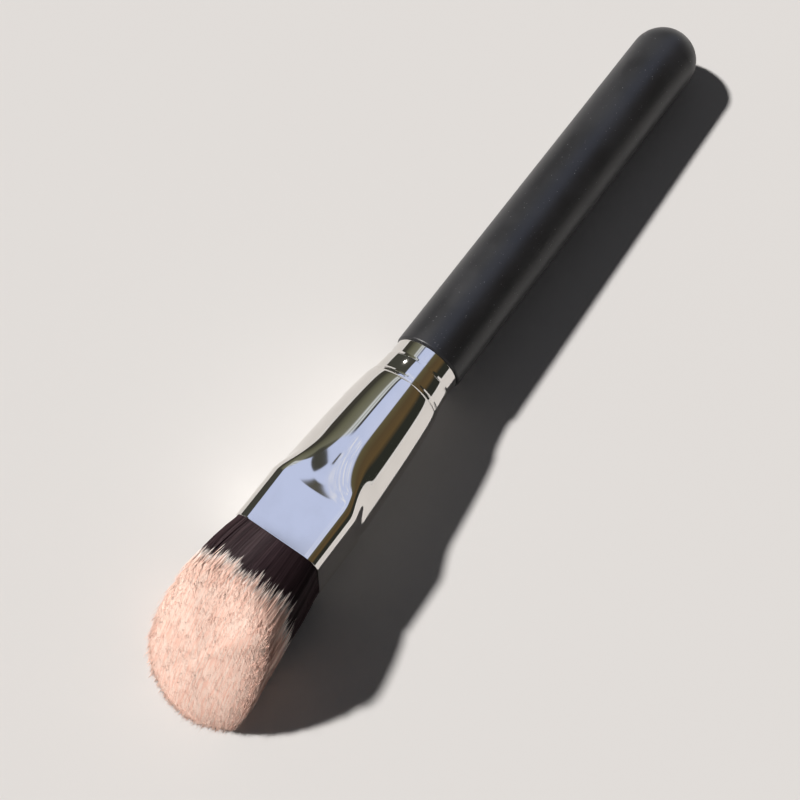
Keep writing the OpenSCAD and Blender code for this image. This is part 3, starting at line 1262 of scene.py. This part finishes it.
@dataclass(frozen=True)
class PaintedReflectionDome:
    """A glowing dome, painted with the reflections the metal shows, by direction. Only glossy rays see it.

    Two angles from straight up place everything: side for left and right of the brush, and ahead for butt
    and tuft. The ferrule's round part shows the colours below blend_from ahead, its flat those above
    blend_to. The flat's sky has thin clouds. Over both lie a dark spot and a dark strip. The strip leans
    across the left, and the press's shoulder shows it as a finger.
    """

    radius: float = 10.0
    around: int = 96
    levels: int = 24
    horizon: float = 4.0
    top: float = 89.9
    sky: Colour = (0.585, 0.665, 0.93)
    olive: Colour = (0.12, 0.105, 0.055)
    dark: Colour = (0.028, 0.03, 0.024)
    far_left: Colour = (0.06, 0.055, 0.045)
    cloud: Colour = (0.9, 0.91, 0.95)
    spot: Colour = (0.085, 0.08, 0.06)
    strip: Colour = (0.06, 0.06, 0.05)
    blend_from: float = -29.5
    blend_to: float = -25.5
    cloud_patch: tuple[float, float, float, float] = (-26.0, -4.0, -13.0, 12.0)
    spot_patch: tuple[float, float, float, float] = (-16.1, -9.8, -15.2, -13.3)
    strip_slope: float = -0.64
    strip_edge: tuple[float, float] = (1.3, 1.9)
    strip_end: tuple[float, float] = (-17.0, -18.5)
    softness: float = 0.5

    @staticmethod
    def at(angle: float) -> float:
        """Returns where an angle to the side lies on a ramp."""
        return 0.5 + angle / 180.0

    def right_side(self) -> list[tuple[float, Colour]]:
        """The stops of both ramps to the right of the sky.

        Returns:
            Place and colour of each stop.
        """
        return [
            (self.at(34), (0.1, 0.07, 0.035)),
            (self.at(50), (0.12, 0.08, 0.035)),
            (self.at(62), self.dark),
            (self.at(90), self.dark),
        ]

    def over_round(self) -> list[tuple[float, Colour]]:
        """The stops of the ramp that the ferrule's round part shows, with two pale bars left of the sky.

        Returns:
            Place and colour of each stop.
        """
        return [
            (self.at(-90), self.far_left),
            (self.at(-72), (0.05, 0.048, 0.038)),
            (self.at(-55), (0.15, 0.15, 0.1)),
            (self.at(-38), (0.2, 0.2, 0.15)),
            (self.at(-33), (0.72, 0.76, 0.78)),
            (self.at(-30), (0.35, 0.37, 0.35)),
            (self.at(-27), (0.75, 0.8, 0.82)),
            (self.at(-24), (0.05, 0.05, 0.045)),
            (self.at(-21), (0.05, 0.05, 0.045)),
            (self.at(-19.5), self.sky),
            (self.at(14.5), (0.62, 0.69, 0.93)),
            (self.at(16.5), self.olive),
            *self.right_side(),
        ]

    def over_flat(self) -> list[tuple[float, Colour]]:
        """The stops of the ramp that the ferrule's flat shows, with a wide sky.

        Returns:
            Place and colour of each stop.
        """
        return [
            (self.at(-90), self.far_left),
            (self.at(-60), (0.08, 0.08, 0.06)),
            (self.at(-37.5), (0.1, 0.1, 0.075)),
            (self.at(-35), self.sky),
            (self.at(12), self.sky),
            (self.at(16), self.olive),
            *self.right_side(),
        ]

    def patch(
        self,
        hand: Nodes,
        ahead: bpy.types.NodeSocket,
        side: bpy.types.NodeSocket,
        edges: tuple[float, float, float, float],
    ) -> bpy.types.NodeSocket:
        """The mask of a soft-edged patch.

        Args:
            hand: Hand for the material's tree.
            ahead: Angle ahead in degrees.
            side: Angle to the side in degrees.
            edges: From and to angle ahead, then from and to angle to the side.

        Returns:
            The mask, 1 inside the patch.
        """
        soft = self.softness
        ahead_from, ahead_to, side_from, side_to = edges
        spans = [
            hand.span(ahead, ahead_from - soft, ahead_from + soft),
            hand.span(ahead, ahead_to + soft, ahead_to - soft),
            hand.span(side, side_from - soft, side_from + soft),
            hand.span(side, side_to + soft, side_to - soft),
        ]
        mask = spans[0]
        for span in spans[1:]:
            mask = hand.math("MULTIPLY", mask, span)
        return mask

    def material(self) -> bpy.types.Material:
        """Draws the painted reflections by the two angles.

        Returns:
            The dome's glowing material, which paints the reflections.
        """
        material = bpy.data.materials.new("painted_reflection_dome")
        material.use_nodes = True
        material.node_tree.nodes.clear()
        hand = Nodes(material.node_tree)
        where = hand.add("ShaderNodeTexCoord").outputs["Object"]
        split = hand.add("ShaderNodeSeparateXYZ", {0: where}).outputs
        degrees = 180 / math.pi
        side = hand.math("MULTIPLY", hand.math("ARCTAN2", split[1], split[2]), degrees)
        ahead = hand.math("MULTIPLY", hand.math("ARCTAN2", split[0], split[2]), degrees)
        share = hand.math("MULTIPLY_ADD", side, 1 / 180.0, 0.5)
        over_round = hand.ramp(share, self.over_round())
        over_flat = hand.ramp(share, self.over_flat())
        drawn = hand.add("ShaderNodeVectorMath", {0: where, 1: (1.1, 3.5, 1.0)}, operation="MULTIPLY")
        noise = hand.add("ShaderNodeTexNoise", {"Vector": drawn.outputs[0], "Scale": 1.0, "Detail": 3.0})
        thin = hand.span(noise.outputs[0], 0.45, 0.72)
        clouds = hand.math("MULTIPLY", thin, self.patch(hand, ahead, side, self.cloud_patch))
        over_flat = hand.mix_colour(clouds, over_flat, (*self.cloud, 1))
        walls = hand.mix_colour(hand.span(ahead, self.blend_from, self.blend_to), over_round, over_flat)
        spot = self.patch(hand, ahead, side, self.spot_patch)
        walls = hand.mix_colour(spot, walls, (*self.spot, 1))
        lean = hand.math("MULTIPLY_ADD", side, self.strip_slope, ahead)
        strip = hand.math("MULTIPLY", hand.span(lean, *self.strip_edge), hand.span(side, *self.strip_end))
        walls = hand.mix_colour(strip, walls, (*self.strip, 1))
        # The dome glows though it is no lamp: its light is the painted reflection on the metal
        light = hand.add("ShaderNodeEmission", {0: walls, 1: 1.0})
        hand.add("ShaderNodeOutputMaterial", {0: light.outputs[0]})
        return material

    def build(self) -> bpy.types.Object:
        """Builds the glowing dome of painted reflections, from a little above the pale horizon.

        Returns:
            The dome.
        """
        turn = np.linspace(0.0, 2 * math.pi, self.around, endpoint=False)
        rings = []
        for angle in np.radians(np.linspace(self.horizon, self.top, self.levels)):
            ring = np.stack([np.cos(turn) * math.cos(angle), np.sin(turn) * math.cos(angle)], 1)
            rings.append(np.column_stack([ring, np.full(self.around, math.sin(angle))]))
        points = np.concatenate(rings) * self.radius
        mesh = bpy.data.meshes.new("painted_reflection_dome")
        mesh.from_pydata(points.tolist(), [], ring_faces(self.levels, self.around).tolist())
        mesh.materials.append(self.material())
        painted_reflection_dome = bpy.data.objects.new("painted_reflection_dome", mesh)
        bpy.context.collection.objects.link(painted_reflection_dome)
        # Only glossy rays see the dome: it paints reflections, gives no diffuse light and casts no shadow
        for ray in ("camera", "diffuse", "transmission", "volume_scatter", "shadow"):
            setattr(painted_reflection_dome, f"visible_{ray}", False)
        return painted_reflection_dome


@dataclass(frozen=True)
class Studio:
    """Pale floor and backdrop, hard light from the left, the dome of painted reflections, and the camera."""

    floor_colour: Colour = (0.75, 0.735, 0.722)
    floor_half: float = 3.0
    shade_light: Colour = (0.052, 0.052, 0.055)
    sun_direction: Point = (0.216, -0.891, 1.0)
    sun_colour: Colour = (1.0, 0.975, 0.95)
    sun_strength: float = 4.05
    sun_softness_deg: float = 4.0
    camera_at: Point = (116.86, 70.66, 296.54)
    camera_to: Point = (15.09, -0.78, 7.3)
    lens: float = 72.451
    sensor_width: float = 36.0

    def build_floor(self) -> bpy.types.Object:
        """Builds the pale floor, which keeps the shadow of the brush.

        Returns:
            The floor.
        """
        half = self.floor_half
        points = [[-half, -half, 0.0], [half, -half, 0.0], [half, half, 0.0], [-half, half, 0.0]]
        mesh = bpy.data.meshes.new("floor")
        mesh.from_pydata(points, [], [(0, 1, 2, 3)])
        material, _, shader = start_material("pale_floor")
        shader.inputs["Base Color"].default_value = (*self.floor_colour, 1)
        shader.inputs["Roughness"].default_value = 0.9
        shader.inputs["Specular IOR Level"].default_value = 0.0
        mesh.materials.append(material)
        floor = bpy.data.objects.new("floor", mesh)
        bpy.context.collection.objects.link(floor)
        return floor

    def build_world(self) -> None:
        """Builds the pale backdrop and the dim soft light in the shade.

        Camera, glossy and transmission rays see the backdrop. The painted reflections hide most of it from
        metal.
        """
        world = bpy.data.worlds.new("studio")
        bpy.context.scene.world = world
        world.use_nodes = True
        world.node_tree.nodes.clear()
        hand = Nodes(world.node_tree)
        light = hand.add("ShaderNodeBackground", {0: (*self.shade_light, 1), 1: 1.0})
        backdrop = hand.add("ShaderNodeBackground", {0: (*self.floor_colour, 1), 1: 1.0})
        path = hand.add("ShaderNodeLightPath").outputs
        seen = hand.math("MAXIMUM", path["Is Camera Ray"], path["Is Glossy Ray"])
        seen = hand.math("MAXIMUM", seen, path["Is Transmission Ray"])
        both = hand.add("ShaderNodeMixShader", {0: seen, 1: light.outputs[0], 2: backdrop.outputs[0]})
        hand.add("ShaderNodeOutputWorld", {0: both.outputs[0]})

    def build_sun(self) -> bpy.types.Object:
        """Builds the key light, a sun from the left.

        Returns:
            The sun.
        """
        lamp = bpy.data.lights.new("key", "SUN")
        lamp.energy = self.sun_strength
        lamp.color = self.sun_colour
        lamp.angle = math.radians(self.sun_softness_deg)
        sun = bpy.data.objects.new("key", lamp)
        sun.rotation_euler = Vector(self.sun_direction).to_track_quat("Z", "Y").to_euler()
        bpy.context.collection.objects.link(sun)
        return sun

    def build_camera(self) -> bpy.types.Object:
        """Builds the camera, at the viewing angle of the photograph.

        Returns:
            The camera.
        """
        lens = bpy.data.cameras.new("camera")
        lens.lens = self.lens
        lens.sensor_width = self.sensor_width
        lens.clip_start, lens.clip_end = 0.01, 50.0
        camera = bpy.data.objects.new("camera", lens)
        camera.location = Vector(self.camera_at) * MM
        look = Vector(self.camera_to) - Vector(self.camera_at)
        camera.rotation_euler = look.to_track_quat("-Z", "Y").to_euler()
        bpy.context.collection.objects.link(camera)
        bpy.context.scene.camera = camera
        return camera

    def build(self) -> None:
        """Builds the whole stage."""
        self.build_camera()
        self.build_floor()
        # A glowing dome that paints the reflections on the metal
        PaintedReflectionDome().build()
        self.build_world()
        self.build_sun()
        bpy.context.scene.view_settings.view_transform = "Standard"


def main() -> None:
    """Builds the brush and its stage in order."""
    logging.basicConfig(level=logging.INFO, format="%(message)s")
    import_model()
    Studio().build()
    effects = SharedEffects()
    pose = RestingPose()
    handle, ferrule = Handle(), Ferrule()
    made = [handle.build(pose, SoftTouchLacquer().build(effects))]
    made.append(ferrule.build(pose, handle.length, PolishedNickel().build(effects)))
    made.append(GluePlug(ferrule).build(pose, handle.length, EpoxyGlue().build(effects)))
    tuft = Tuft(ferrule, pose, handle.length + ferrule.length)
    fibre = DyedFibre()
    made.append(tuft.build_core(fibre.build(effects, "packed_fibre", streaked=True)))
    single = fibre.build(effects, "single_fibre")
    made += [tuft.build_fibres(Cut.SIDE, part, 2, single) for part in range(2)]
    made += [tuft.build_fibres(Cut.FACE, part, 3, single) for part in range(3)]
    made.append(tuft.build_fibres(Cut.STRAY, 0, 1, single))
    for piece in made:
        log.info("%s: %d faces", piece.name, len(piece.data.polygons))


if __name__ == "__main__":
    main()
